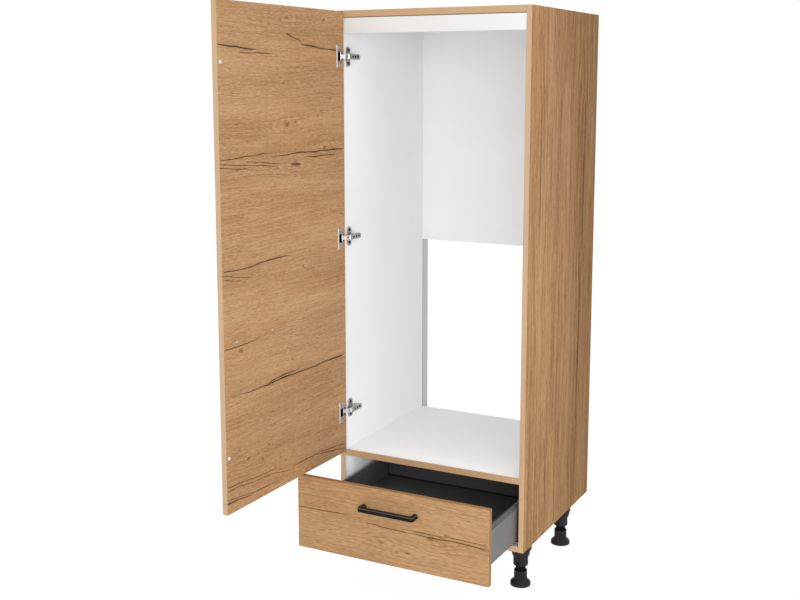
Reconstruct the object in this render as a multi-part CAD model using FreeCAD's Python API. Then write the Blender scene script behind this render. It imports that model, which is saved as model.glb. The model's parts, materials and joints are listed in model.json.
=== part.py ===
"""Tall fridge housing unit on four adjustable feet, with a hinged door and one drawer, in millimetres.

X runs to the right, Y to the back and Z up from the floor. The pieces are laid out from the middle of the
carcass front, and the finished part is moved so that its origin is on the floor in the middle of its outline.
The door stands open and the drawer is pulled out: each moving piece is made in its closed place first.
"""

import FreeCAD
import Part
import os

# Carcass
unit_width = 600.0
unit_depth = 564.0
unit_height = 1650.0
foot_height = 120.0
side_board = 16.0
top_board = 19.0
shelf_board = 19.0
bottom_board = 16.0
shelf_top = 340.0
band_round = 0.8
rail_height = 46.0
rail_board = 16.0
back_board = 3.0
back_inset = 36.0
back_low_edge = 922.0
groove_depth = 8.0
groove_play = 0.1

# Cam fittings and dowels that hold the boards between the sides
cam_radius = 7.5
cam_reach = 34.0
cam_past_bolt = 4.5
cam_inset = 70.0
bolt_radius = 3.0
bolt_head_radius = 3.4
bolt_head_length = 3.0
bolt_bore_radius = 4.0
bolt_thread_radius = 3.5
bolt_thread_length = 11.0
dowel_radius = 4.0
dowel_in_side = 11.0
dowel_in_board = 24.0
dowel_offset = 32.0
fit_play = 0.03
hole_end_play = 0.5

# Door and drawer fronts
front_board = 16.0
front_reveal = 1.5
front_gap = 2.0
front_drop = 2.0
fronts_gap = 3.0
top_reveal = 3.0
drawer_front_height = 215.0
front_round = 1.0
door_open_angle = 90.65
drawer_pull = 226.0
bumper_radius = 5.0
bumper_height = 1.6
bumper_round = 1.0
bumper_edge = 11.0
bumper_end = 151.0

# Bow handles
handle_spacing = 160.0
handle_thickness = 13.0
handle_height = 13.0
handle_projection = 32.0
handle_corner = 7.0
handle_round = 2.5
door_handle_edge = 54.0
door_handle_height = 786.0
drawer_handle_drop = 57.0
handle_screw_radius = 2.0
handle_screw_depth = 9.0
handle_head_radius = 4.0
handle_head_height = 2.4

# Concealed hinges on the left side
hinge_end = 128.0
arm_pin_offset = 18.0
arm_pin_setback = 6.0
cup_pin_edge = 10.0
cup_pin_depth = 4.0
link_swing_angle = 27.4
pin_radius = 1.5
pin_play = 0.05
link_thickness = 2.5
link_height = 12.0
link_eye = 2.7
link_knee_run = 9.0
link_knee_rise = 7.0
link_slot_length = 8.0
link_slot_height = 3.4
link_play = 0.4
cup_radius = 17.5
cup_edge = 4.5
cup_depth = 12.0
cup_sheet = 0.8
cup_seat_play = 0.1
flange_sheet = 1.2
flange_radius = 18.4
flange_length = 65.0
flange_width = 21.0
flange_offset = 8.0
flange_corner = 2.0
flange_lip = 3.6
cup_mouth_height = 25.0
cup_screw_spacing = 52.0
cup_screw_offset = 5.5
cup_screw_radius = 1.75
cup_screw_depth = 10.0
cup_head_radius = 4.0
cup_head_height = 1.4
arm_sheet = 1.2
arm_eye = 4.2
arm_flange = 10.0
arm_length = 58.0
arm_window = 3.6
plate_setback = 30.0
plate_sheet = 2.5
plate_width = 22.0
plate_length = 57.0
plate_corner = 7.0
plate_screw_spacing = 38.0
rib_front = 16.0
rib_length = 42.0
euro_screw_radius = 3.0
euro_head_radius = 5.0
euro_head_height = 2.2
euro_screw_depth = 11.0
arm_screw_radius = 2.5
arm_screw_depth = 8.0
arm_head_radius = 3.2
arm_head_height = 1.5
arm_screw_front = 23.0
arm_screw_rear = 52.0

# Drawer box with double steel sides
box_gap = 8.0
box_side_width = 14.0
box_side_height = 95.0
box_sheet = 1.2
box_length = 478.0
box_step_run = 3.5
box_step_rise = 4.0
box_ledge = 12.0
box_ledge_height = 11.0
box_back_board = 14.0
base_board = 16.0
base_play = 0.3
bracket_height = 60.0
bracket_depth = 26.0
bracket_flange = 12.0
bracket_sheet = 2.0
bracket_screw_radius = 2.0
bracket_screw_depth = 10.0
bracket_head_radius = 3.6
bracket_head_height = 1.6
bracket_screw_spacing = 32.0

# Runners under the drawer sides
runner_floor = 10.0
runner_sheet = 1.2
runner_play = 0.3
runner_length = 488.0
runner_setback = 4.0
runner_flange = 40.0
runner_lip = 5.0
runner_leg = 8.0
runner_middle_height = 11.5
runner_screw_height = 26.0
runner_screw_inset = 33.0

# Adjustable feet
foot_front_inset = 57.0
foot_rear_inset = 167.0
foot_side = 29.5
foot_base_radius = 29.5
foot_base_height = 9.0
foot_flare_height = 10.0
foot_base_round = 3.0
barrel_radius = 19.0
barrel_height = 45.0
barrel_mouth_radius = 17.4
barrel_mouth_depth = 6.0
grip_count = 12
grip_radius = 1.6
stem_radius = 14.7
stem_play = 0.08
stem_end = 16.0
barrel_floor = 9.0
sleeve_radius = 21.5
sleeve_bottom = 57.0
sleeve_chamfer = 5.0
sleeve_hole = 3.6
sleeve_hole_depth = 4.0
sleeve_hole_height = 70.0
socket_height = 29.0
socket_radius = 29.0
socket_foot_radius = 25.0
socket_rim = 10.0
spigot_radius = 14.7
spigot_length = 20.0
wing_length = 80.0
wing_width = 44.0
wing_plate = 8.0
wing_block_length = 52.0
wing_block_width = 30.0
lug_radius = 8.0
lug_height = 16.0
foot_screw_radius = 2.0
foot_screw_depth = 11.0
foot_head_radius = 4.0
foot_head_height = 2.0
foot_screw_front = 32.0
foot_screw_rear = 72.0
foot_screw_inset = 20.0

# Places that follow from those sizes
half_width = unit_width / 2
side_inner = half_width - side_board
back_rear = unit_depth - back_inset
back_front = back_rear - back_board
shelf_under = shelf_top - shelf_board
top_under = unit_height - top_board
bottom_top = foot_height + bottom_board
rail_bottom = top_under - rail_height
front_half = half_width - front_reveal
front_face = -front_gap - front_board
drawer_front_low = foot_height - front_drop
drawer_front_top = drawer_front_low + drawer_front_height
door_low = drawer_front_top + fronts_gap
door_top = unit_height - top_reveal
hinge_high = door_top - hinge_end
hinge_low = door_low + hinge_end
hinge_places = {"top": hinge_high, "middle": (hinge_high + hinge_low) / 2, "bottom": hinge_low}

Vector = FreeCAD.Vector
RIGHT = Vector(1, 0, 0)
BACK = Vector(0, 1, 0)
UP = Vector(0, 0, 1)

# Hinge pins: the arm pin stays on the carcass, the cup pin rides in the door
arm_pin = Vector(-side_inner + arm_pin_offset, arm_pin_setback, 0)
cup_pin = Vector(-front_half + cup_pin_edge, -front_gap - cup_pin_depth, 0)
cup_centre = -front_half + cup_edge + cup_radius
arm_web = arm_pin.x + link_eye + link_play
arm_half = link_height / 2 + link_play + arm_sheet


def block(x0, x1, y0, y1, z0, z1):
    """A box between two corners."""
    return Part.makeBox(x1 - x0, y1 - y0, z1 - z0, Vector(x0, y0, z0))


def rod(radius, length, start, direction):
    """A round bar from its start along a direction."""
    return Part.makeCylinder(radius, length, start, direction)


def joined(shapes):
    """One solid from pieces that touch."""
    return shapes[0].multiFuse(shapes[1:]).removeSplitter()


def mirrored(shape):
    """The same piece on the other side of the unit."""
    return shape.mirror(Vector(0, 0, 0), RIGHT)


def rounded(shape, radius, along=None, where=None):
    """Rounds the straight edges that run along a direction and lie where asked."""
    chosen = []
    for edge in shape.Edges:
        if edge.Curve.TypeId != "Part::GeomLine":
            continue
        if along is not None and abs(edge.Curve.Direction.dot(along)) < 0.99:
            continue
        if where is None or where(edge.CenterOfMass):
            chosen.append(edge)
    return shape.makeFillet(radius, chosen)


def prism(points, length, direction):
    """A straight-sided outline drawn through points and pulled along a direction."""
    outline = Part.makePolygon(points + points[:1])
    return Part.Face(outline).extrude(direction * length)


def turned(points, centre):
    """A solid of revolution about the vertical through centre, from radius and height pairs."""
    outline = [Vector(r, 0, z) for r, z in points]
    solid = Part.Face(Part.makePolygon(outline + outline[:1])).revolve(Vector(0, 0, 0), UP, 360)
    solid.translate(Vector(centre.x, centre.y, 0))
    return solid


def bar_between(start, end, width, low, height):
    """An upright flat bar whose plan runs from one point to another."""
    run = end - start
    across = Vector(-run.y, run.x, 0).normalize() * (width / 2)
    corners = [start + across, end + across, end - across, start - across]
    for corner in corners:
        corner.z = low
    return prism(corners, height, UP)


def screw(head_radius, head_height, radius, depth, seat, inward):
    """A screw with a low domed head on its seat and a plain shank below it."""
    head = rod(head_radius, head_height, seat - inward * head_height, inward)
    rim = [e for e in head.Edges if abs((e.CenterOfMass - seat).dot(inward) + head_height) < 0.01]
    head = head.makeFillet(head_height * 0.6, rim)
    return joined([head, rod(radius, depth, seat, inward)])


def turned_about(shape, centre, angle):
    """A copy turned about the vertical through a point."""
    copy = shape.copy()
    copy.rotate(Vector(centre.x, centre.y, 0), UP, angle)
    return copy


def swung(shape):
    """Brings a hinge link from its closed place to its place with the door open."""
    return turned_about(shape, arm_pin, link_swing_angle)


def opened(shape):
    """Brings a door piece from its closed place to its place with the door open."""
    copy = turned_about(shape, cup_pin, -door_open_angle)
    copy.translate(cup_pin_open - cup_pin)
    return copy


def pulled(shape, share=1.0):
    """Brings a drawer piece out of the carcass by its share of the pull."""
    copy = shape.copy()
    copy.translate(BACK * (-drawer_pull * share))
    return copy


cup_pin_open = swung(Part.Vertex(cup_pin)).Point

# Boards between the sides: thickness, the face that the cams are drilled into, and the way into the board
cam_boards = (
    (top_board, unit_height, -1),
    (shelf_board, shelf_under, 1),
    (bottom_board, foot_height, 1),
)
cam_rows = (cam_inset, back_front - cam_inset)
dowel_rows = (cam_inset + dowel_offset, back_front - cam_inset - dowel_offset)
rail_dowels = (rail_bottom + rail_height / 4, top_under - rail_height / 4)


def cam_places():
    """Each cam fitting: depth, drilled face, way in, thickness and height of the bolt."""
    for thickness, face, way in cam_boards:
        for row in cam_rows:
            yield row, face, way, thickness, face + way * thickness / 2


def dowel_places():
    """Each dowel: depth and height."""
    for thickness, face, way in cam_boards:
        for row in dowel_rows:
            yield row, face + way * thickness / 2
    for height in rail_dowels:
        yield rail_board / 2, height


def cam_room(play):
    """The right-hand cams, or the holes for them."""
    made = []
    for row, face, way, thickness, height in cam_places():
        start = Vector(side_inner - cam_reach, row, face)
        tall = thickness / 2 + cam_past_bolt + play
        made.append(rod(cam_radius + play, tall, start, UP * way))
    return made


def bolt_room(radius, start, length):
    """Bars along the right-hand cam bolts, from a distance inside the side's inner face."""
    places = [Vector(side_inner + start, row, height) for row, f, w, t, height in cam_places()]
    return [rod(radius, length, place, RIGHT) for place in places]


def dowel_room(play, end_play):
    """The right-hand dowels, or the holes for them."""
    length = dowel_in_board + dowel_in_side + 2 * end_play
    start = side_inner - dowel_in_board - end_play
    places = [Vector(start, row, height) for row, height in dowel_places()]
    return [rod(dowel_radius + play, length, place, RIGHT) for place in places]


def side_fitting_holes():
    """What is drilled into the right side for bolts and dowels."""
    bolts = bolt_room(bolt_thread_radius + fit_play, 0, bolt_thread_length + hole_end_play)
    return bolts + dowel_room(fit_play, hole_end_play)


def board_fitting_holes():
    """What is drilled into both ends of the boards between the sides."""
    holes = cam_room(fit_play) + bolt_room(bolt_bore_radius, -cam_reach, cam_reach)
    holes += dowel_room(fit_play, hole_end_play)
    return holes + [mirrored(hole) for hole in holes]


def euro_holes(places, depth):
    """Holes for the stout screws that go sideways into a side."""
    return [rod(euro_screw_radius + fit_play, depth, place, way) for place, way in places]


def hinge_screw_places():
    """Where the hinge plates are screwed to the left side."""
    places = []
    for height in hinge_places.values():
        for offset in (-plate_screw_spacing / 2, plate_screw_spacing / 2):
            places.append(Vector(-side_inner, plate_setback, height + offset))
    return places


def runner_screw_places():
    """Where the right-hand runner is screwed to its side."""
    low = bottom_top + runner_floor + runner_screw_height
    first = runner_setback + runner_screw_inset
    last = runner_setback + runner_length - runner_screw_inset
    return [Vector(side_inner, depth, low) for depth in (first, (first + last) / 2, last)]


def side_panel():
    """The right side: a board with a groove for the back, drilled on its inner face."""
    board = block(side_inner, half_width, 0, unit_depth, foot_height, unit_height)
    board = rounded(board, band_round, UP, lambda c: c.y < unit_depth / 2)
    groove = block(side_inner, side_inner + groove_depth, back_front - groove_play, back_rear + groove_play,
                   foot_height, unit_height)
    runner_holes = euro_holes([(place, RIGHT) for place in runner_screw_places()],
                              euro_screw_depth + hole_end_play)
    return board.cut([groove] + side_fitting_holes() + runner_holes)


def inner_board(low, high):
    """A board between the sides with its front edge rounded and its ends drilled."""
    board = block(-side_inner, side_inner, 0, back_front, low, high)
    board = rounded(board, band_round, RIGHT, lambda c: c.y < back_front / 2)
    return board.cut(board_fitting_holes())


def front_rail():
    """The plain strip under the top board."""
    strip = block(-side_inner, side_inner, 0, rail_board, rail_bottom, top_under)
    strip = rounded(strip, band_round, RIGHT, lambda c: c.y < rail_board / 2 and c.z < top_under - 1)
    holes = dowel_room(fit_play, hole_end_play)
    return strip.cut(holes + [mirrored(hole) for hole in holes])


def back_panel():
    """The thin upper back, held in the grooves of both sides."""
    reach = side_inner + groove_depth - hole_end_play
    return block(-reach, reach, back_front, back_rear, back_low_edge, unit_height)


def cam_housings():
    """Round cams with a mouth for the bolt head."""
    slots = bolt_room(bolt_head_radius + hole_end_play, -cam_reach - bolt_head_length, cam_reach)
    cams = [cam.cut(slots) for cam in cam_room(0)]
    return cams + [mirrored(cam) for cam in cams]


def cam_bolts():
    """Bolts screwed into the sides, with their heads in the cams."""
    shanks = bolt_room(bolt_radius, -cam_reach, cam_reach)
    heads = bolt_room(bolt_head_radius, -cam_reach - bolt_head_length / 2, bolt_head_length)
    threads = bolt_room(bolt_thread_radius, 0, bolt_thread_length)
    bolts = [joined(list(parts)) for parts in zip(shanks, heads, threads)]
    return bolts + [mirrored(bolt) for bolt in bolts]


def dowels():
    """Wooden dowels between the sides and the boards."""
    pins = dowel_room(0, 0)
    return pins + [mirrored(pin) for pin in pins]


def hinge_plate(height):
    """The winged plate on the left side, with the rib that carries the arm."""
    half_length = plate_length / 2
    wing = block(-side_inner, -side_inner + plate_sheet, plate_setback - plate_width / 2,
                 plate_setback + plate_width / 2, height - half_length, height + half_length)
    wing = rounded(wing, plate_corner, RIGHT)
    rib_half = link_height / 2
    rib = block(-side_inner, arm_web, rib_front, rib_front + rib_length, height - rib_half, height + rib_half)
    plate = joined([wing, rib])
    holes = [rod(euro_screw_radius + fit_play, plate_sheet, place, RIGHT) for place in hinge_screw_places()]
    holes += [rod(arm_screw_radius + fit_play, arm_screw_depth + hole_end_play,
                  Vector(arm_web, depth, height), -RIGHT) for depth in (arm_screw_front, arm_screw_rear)]
    middle = (arm_screw_front + arm_screw_rear) / 2
    holes.append(rod(arm_window, arm_screw_depth, Vector(arm_web, middle, height), -RIGHT))
    return plate.cut(holes)


def hinge_arm(height):
    """The folded arm that clips over the rib and carries the link's pin in its two ears."""
    rear = arm_pin.y + arm_length
    low, high = height - arm_half, height + arm_half
    web = block(arm_web, arm_web + arm_sheet, arm_pin.y, rear, low, high)
    web = rounded(web, arm_half / 2, RIGHT, lambda c: c.y > rear - 1)
    ears = []
    for base in (low, high - arm_sheet):
        leaf = block(arm_web - arm_flange, arm_web + arm_sheet, arm_pin.y, rear - arm_half,
                     base, base + arm_sheet)
        leaf = rounded(leaf, arm_flange / 2, UP, lambda c: c.y > arm_pin.y + 1 and c.x < arm_web)
        eye = rod(arm_eye, arm_sheet, Vector(arm_pin.x, arm_pin.y, base), UP)
        ears += [leaf, eye]
    arm = joined([web] + ears)
    middle = (arm_screw_front + arm_screw_rear) / 2
    holes = [rod(pin_radius + fit_play, 2 * arm_half, Vector(arm_pin.x, arm_pin.y, low), UP)]
    holes += [rod(arm_screw_radius + fit_play, arm_sheet, Vector(arm_web, depth, height), RIGHT)
              for depth in (arm_screw_front, arm_screw_rear)]
    holes.append(rod(arm_window, arm_sheet, Vector(arm_web, middle, height), RIGHT))
    return arm.cut(holes)


def hinge_screws():
    """Screws of the plates into the side, and of the arms into their ribs."""
    made = []
    for place in hinge_screw_places():
        seat = place + RIGHT * plate_sheet
        made.append(screw(euro_head_radius, euro_head_height, euro_screw_radius,
                          plate_sheet + euro_screw_depth, seat, -RIGHT))
    for height in hinge_places.values():
        for depth in (arm_screw_front, arm_screw_rear):
            seat = Vector(arm_web + arm_sheet, depth, height)
            made.append(screw(arm_head_radius, arm_head_height, arm_screw_radius,
                              arm_sheet + arm_screw_depth, seat, -RIGHT))
    return made


def hinge_link(height):
    """The bent link between the arm pin and the cup pin, in its closed place."""
    low = height - link_height / 2
    chord = (arm_pin - cup_pin).normalize()
    aside = Vector(chord.y, -chord.x, 0)
    knee = cup_pin + chord * link_knee_run + aside * link_knee_rise
    parts = [bar_between(cup_pin, knee, link_thickness, low, link_height),
             bar_between(knee, arm_pin, link_thickness, low, link_height)]
    for centre, radius in ((cup_pin, link_eye), (knee, link_thickness / 2), (arm_pin, link_eye)):
        parts.append(rod(radius, link_height, Vector(centre.x, centre.y, low), UP))
    link = joined(parts)
    leg = (arm_pin - knee).normalize()
    middle = (knee + arm_pin) / 2
    slot = bar_between(middle - leg * (link_slot_length / 2), middle + leg * (link_slot_length / 2),
                       2 * link_thickness, height - link_slot_height / 2, link_slot_height)
    bores = [rod(pin_radius + pin_play, link_height, Vector(p.x, p.y, low), UP) for p in (cup_pin, arm_pin)]
    return link.cut([slot] + bores)


def arm_pins():
    """Rivets through the ears of the arms."""
    return [rod(pin_radius, 2 * arm_half, Vector(arm_pin.x, arm_pin.y, height - arm_half), UP)
            for height in hinge_places.values()]


def cup_body(height):
    """The outside of a cup, before it is hollowed."""
    return rod(cup_radius - cup_seat_play, cup_depth, Vector(cup_centre, -front_gap, height), -BACK)


def cup_pin_bar(radius, height):
    """The rivet across a cup, with its ends flush with the outside of the cup."""
    start = Vector(cup_pin.x, cup_pin.y, height - cup_radius)
    return rod(radius, 2 * cup_radius, start, UP).common(cup_body(height))


def cup_screw_places(height):
    """Where a hinge cup is screwed to the door."""
    offsets = (-cup_screw_spacing / 2, cup_screw_spacing / 2)
    return [Vector(cup_centre + cup_screw_offset, -front_gap, height + offset) for offset in offsets]


def hinge_cup(height):
    """The pressed cup sunk in the door, with a lipped flange, a narrow mouth and a pass for the link."""
    mouth = Vector(cup_centre, -front_gap, height)
    far = cup_centre + flange_offset + flange_width / 2
    low, high = height - flange_length / 2, height + flange_length / 2
    wing = block(far - flange_width, far, -front_gap, -front_gap + flange_sheet, low, high)
    wing = rounded(wing, flange_corner, BACK)
    lip = block(far - flange_sheet, far, -front_gap, -front_gap + flange_lip,
                low + flange_corner, high - flange_corner)
    cup = joined([cup_body(height), wing, lip, rod(flange_radius, flange_sheet, mouth, BACK)])
    inside = cup_radius - cup_seat_play - cup_sheet
    hollow = rod(inside, cup_depth - cup_sheet + flange_sheet, mouth + BACK * flange_sheet, -BACK)
    mouth_half = cup_mouth_height / 2
    hollow = hollow.common(block(-half_width, far, -front_gap - cup_depth, flange_lip,
                                 height - mouth_half, height + mouth_half))
    link_pass = block(cup_centre - flange_radius, cup_centre, -front_gap, -front_gap + flange_sheet,
                      height - arm_half, height + arm_half)
    holes = [rod(cup_screw_radius + fit_play, flange_sheet, place, BACK)
             for place in cup_screw_places(height)]
    return cup.cut([hollow, link_pass, cup_pin_bar(pin_radius + fit_play, height)] + holes)


def cup_screws():
    """Screws of the hinge cups into the door."""
    made = []
    for height in hinge_places.values():
        for place in cup_screw_places(height):
            made.append(screw(cup_head_radius, cup_head_height, cup_screw_radius,
                              flange_sheet + cup_screw_depth, place + BACK * flange_sheet, -BACK))
    return made


def front_panel(low, high):
    """A front board in its closed place, with all its outer edges rounded."""
    board = block(-front_half, front_half, front_face, -front_gap, low, high)
    return rounded(board, front_round)


def handle_screw_places(middle, height):
    """Where a handle is screwed through its front, on the inner face."""
    ends = (middle - handle_spacing / 2, middle + handle_spacing / 2)
    return [Vector(x, -front_gap, height) for x in ends]


def handle_holes(middle, height):
    """Holes through a front for the handle screws."""
    return [rod(handle_screw_radius + fit_play, front_board, place, -BACK)
            for place in handle_screw_places(middle, height)]


def handle(middle, height):
    """A bow handle with rounded corners, standing on the outer face of a front."""
    half = (handle_spacing + handle_thickness) / 2
    low = height - handle_height / 2
    bow = block(middle - half, middle + half, front_face - handle_projection, front_face,
                low, low + handle_height)
    bow = rounded(bow, handle_corner, UP, lambda c: c.y < front_face - 1)
    inner_half = half - handle_thickness
    gap = block(middle - inner_half, middle + inner_half, front_face - handle_projection + handle_thickness,
                front_face, low, low + handle_height)
    gap = rounded(gap, handle_corner / 2, UP, lambda c: c.y < front_face - 1)
    bow = bow.cut(gap)
    rims = [e for e in bow.Edges if abs(e.CenterOfMass.z - height) > handle_height / 2 - 0.01
            and e.CenterOfMass.y < front_face - 0.01]
    bow = bow.makeFillet(handle_round, rims)
    holes = [rod(handle_screw_radius + fit_play, handle_screw_depth + hole_end_play,
                 place - BACK * front_board, -BACK) for place in handle_screw_places(middle, height)]
    return bow.cut(holes)


def handle_screws(middle, height):
    """Screws from the inner face of a front into its handle."""
    depth = front_board + handle_screw_depth
    return [screw(handle_head_radius, handle_head_height, handle_screw_radius, depth, place, -BACK)
            for place in handle_screw_places(middle, height)]


door_handle_middle = front_half - door_handle_edge - handle_spacing / 2
drawer_handle_height = drawer_front_top - drawer_handle_drop


def door_panel():
    """The door, bored for the hinge cups, their screws and the handle."""
    holes = handle_holes(door_handle_middle, door_handle_height)
    for height in hinge_places.values():
        mouth = Vector(cup_centre, -front_gap, height)
        holes.append(rod(cup_radius, cup_depth + cup_seat_play, mouth, -BACK))
        holes += [rod(cup_screw_radius + fit_play, cup_screw_depth + hole_end_play, place, -BACK)
                  for place in cup_screw_places(height)]
    return front_panel(door_low, door_top).cut(holes)


def door_bumpers():
    """Soft stops near the free edge of the door."""
    made = []
    for height in (door_low + bumper_end, door_top - bumper_end):
        seat = Vector(front_half - bumper_edge, -front_gap, height)
        stop = rod(bumper_radius, bumper_height, seat, BACK)
        rim = [e for e in stop.Edges if e.CenterOfMass.y > -front_gap + bumper_height - 0.01]
        made.append(stop.makeFillet(bumper_round, rim))
    return made


# Drawer box places, in the closed place of the drawer
box_outer = side_inner - box_gap
box_inner = box_outer - box_side_width
rail_web = bottom_top + runner_floor
middle_low = rail_web + runner_sheet + runner_play
middle_high = middle_low + runner_middle_height
box_low = middle_high + runner_play + runner_sheet
box_high = box_low + box_side_height
rail_low = box_low - runner_sheet - runner_leg
rail_outer = box_outer - box_sheet
ledge_top = box_low + box_ledge_height
base_top = ledge_top + base_board
box_front = -front_gap
box_back = box_front + box_length
bracket_low = base_top + bracket_head_radius


def box_side():
    """The right drawer side: a hollow steel wall with a stepped top, a skirt and a ledge for the base."""
    step_1 = box_outer - box_step_run
    step_2 = step_1 - box_step_run
    tread_1 = box_high - 2 * box_step_rise
    tread_2 = box_high - box_step_rise
    outline = [(box_inner, box_low), (box_outer, box_low), (box_outer, tread_1), (step_1, tread_1),
               (step_1, tread_2), (step_2, tread_2), (step_2, box_high), (box_inner, box_high)]
    t = box_sheet
    hollow = [(box_inner + t, box_low + t), (box_outer - t, box_low + t), (box_outer - t, tread_1 - t),
              (step_1 - t, tread_1 - t), (step_1 - t, tread_2 - t), (step_2 - t, tread_2 - t),
              (step_2 - t, box_high - t), (box_inner + t, box_high - t)]
    tube, core = [prism([Vector(x, box_front, z) for x, z in line], box_length, BACK)
                  for line in (outline, hollow)]
    ledge = block(box_inner - box_ledge, box_inner, box_front, box_back, ledge_top - t, ledge_top)
    skirt = block(rail_outer, box_outer, box_front, box_back, rail_low, box_low + t)
    return joined([tube.cut(core), ledge, skirt])


def box_base():
    """The drawer bottom, lying on the ledges of both sides."""
    half = box_inner - base_play
    return block(-half, half, box_front, box_back, ledge_top, base_top)


def box_rear():
    """The drawer back, standing on the base between the sides."""
    half = box_inner - base_play
    rear = block(-half, half, box_back - box_back_board, box_back, base_top, box_high)
    return rounded(rear, band_round, RIGHT, lambda c: c.z > box_high - 1)


def bracket_screw_places():
    """Where the right-hand bracket is screwed to the drawer front."""
    middle = bracket_low + bracket_height / 2
    offsets = (-bracket_screw_spacing / 2, bracket_screw_spacing / 2)
    across = box_inner - (bracket_sheet + bracket_flange) / 2
    return [Vector(across, box_front, middle + offset) for offset in offsets]


def front_bracket():
    """The right-hand angle that ties the drawer front to its side."""
    edge = box_inner
    high = bracket_low + bracket_height
    leaf = block(edge - bracket_sheet, edge, box_front, box_front + bracket_depth, bracket_low, high)
    foot = block(edge - bracket_flange, edge, box_front, box_front + bracket_sheet, bracket_low, high)
    holes = [rod(bracket_screw_radius + fit_play, bracket_sheet, place, BACK)
             for place in bracket_screw_places()]
    return joined([leaf, foot]).cut(holes)


def drawer_brackets():
    """Both angles inside the drawer front."""
    return [front_bracket(), mirrored(front_bracket())]


def bracket_screws():
    """Screws of the angles into the drawer front."""
    made = []
    for place in bracket_screw_places():
        seat = place + BACK * bracket_sheet
        made.append(screw(bracket_head_radius, bracket_head_height, bracket_screw_radius,
                          bracket_sheet + bracket_screw_depth, seat, -BACK))
    return made + [mirrored(one) for one in made]


def drawer_front():
    """The drawer front, bored for its handle and its angles."""
    holes = handle_holes(0, drawer_handle_height)
    pilots = [rod(bracket_screw_radius + fit_play, bracket_screw_depth + hole_end_play, place, -BACK)
              for place in bracket_screw_places()]
    pilots += [mirrored(hole) for hole in pilots]
    return front_panel(drawer_front_low, drawer_front_top).cut(holes + pilots)


def runner_rail(x0, x1, z0, z1):
    """A straight strip of a runner over its whole length."""
    return block(x0, x1, runner_setback, runner_setback + runner_length, z0, z1)


def cabinet_rail():
    """The right-hand channel screwed to the side, with a lip that guides the drawer."""
    lip_inner = box_inner - runner_play - 2 * runner_sheet
    web = runner_rail(lip_inner, side_inner, rail_web, rail_web + runner_sheet)
    flange = runner_rail(side_inner - runner_sheet, side_inner, rail_web, rail_web + runner_flange)
    lip = runner_rail(lip_inner, lip_inner + runner_sheet, rail_web, rail_web + runner_sheet + runner_lip)
    holes = [rod(euro_screw_radius + fit_play, runner_sheet, place, -RIGHT)
             for place in runner_screw_places()]
    return joined([web, flange, lip]).cut(holes)


def middle_rail():
    """The right-hand tube that runs between the channel and the drawer's rail."""
    inner = box_inner + runner_sheet + runner_play
    outer = rail_outer - runner_sheet - runner_play
    tube = runner_rail(inner, outer, middle_low, middle_high)
    core = runner_rail(inner + runner_sheet, outer - runner_sheet, middle_low + runner_sheet,
                       middle_high - runner_sheet)
    return tube.cut(core)


def drawer_rail():
    """The right-hand inverted channel under the drawer side, inside its skirt."""
    top = runner_rail(box_inner, rail_outer, box_low - runner_sheet, box_low)
    inner = runner_rail(box_inner, box_inner + runner_sheet, rail_low, box_low)
    outer = runner_rail(rail_outer - runner_sheet, rail_outer, rail_low, box_low)
    return joined([top, inner, outer])


def runner_screws():
    """Screws of the channels into the sides."""
    made = []
    for place in runner_screw_places():
        seat = place - RIGHT * runner_sheet
        made.append(screw(euro_head_radius, euro_head_height, euro_screw_radius,
                          runner_sheet + euro_screw_depth, seat, RIGHT))
    return made + [mirrored(one) for one in made]


def foot_places():
    """The middle of each foot, by name."""
    for side, across in (("left", -1), ("right", 1)):
        for end, depth in (("front", foot_front_inset), ("rear", unit_depth - foot_rear_inset)):
            yield f"{end}_{side}", across, Vector(across * (half_width - foot_side), depth, 0)


socket_low = foot_height - socket_height


def foot_screw_places(across, centre):
    """Where a foot plate is screwed up into the bottom board."""
    inset = centre.x - across * foot_screw_inset
    depths = (centre.y - foot_screw_front, centre.y + foot_screw_rear)
    return [Vector(inset, depth, foot_height - wing_plate) for depth in depths]


def foot_plate(across, centre):
    """The socket of a foot with its long wing to the rear."""
    rim_low = foot_height - socket_rim
    socket = turned([(0, socket_low), (socket_foot_radius, socket_low), (socket_radius, rim_low),
                     (socket_radius, foot_height), (0, foot_height)], centre)
    front = centre.y - foot_screw_front - lug_radius
    inner = centre.x - across * (foot_screw_inset + lug_radius)
    outer = inner + across * wing_width
    wing = block(min(inner, outer), max(inner, outer), front, centre.y + wing_length,
                 foot_height - wing_plate, foot_height)
    wing = rounded(wing, lug_radius, UP)
    half = wing_block_width / 2
    rib = block(centre.x - half, centre.x + half, centre.y, centre.y + wing_block_length,
                socket_low, foot_height)
    rib = rounded(rib, lug_radius / 2, UP, lambda c: c.y > centre.y + 1)
    lug_depth = centre.y + wing_length - lug_radius
    lug_middle = Vector(outer - across * lug_radius, lug_depth, foot_height - lug_height)
    plate = joined([socket, wing, rib, rod(lug_radius, lug_height, lug_middle, UP)])
    mouth = Vector(centre.x, centre.y, socket_low)
    holes = [rod(spigot_radius + fit_play, spigot_length + hole_end_play, mouth, UP)]
    holes += [rod(foot_screw_radius + fit_play, wing_plate, place, UP)
              for place in foot_screw_places(across, centre)]
    return plate.cut(holes)


def foot_screws():
    """Screws of the foot plates into the bottom board."""
    made = []
    for name, across, centre in foot_places():
        for place in foot_screw_places(across, centre):
            made.append(screw(foot_head_radius, foot_head_height, foot_screw_radius,
                              wing_plate + foot_screw_depth, place, UP))
    return made


def foot_pilots():
    """Holes for those screws in the bottom board."""
    depth = wing_plate + foot_screw_depth + hole_end_play
    return [rod(foot_screw_radius + fit_play, depth, place, UP)
            for name, across, centre in foot_places() for place in foot_screw_places(across, centre)]


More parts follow.
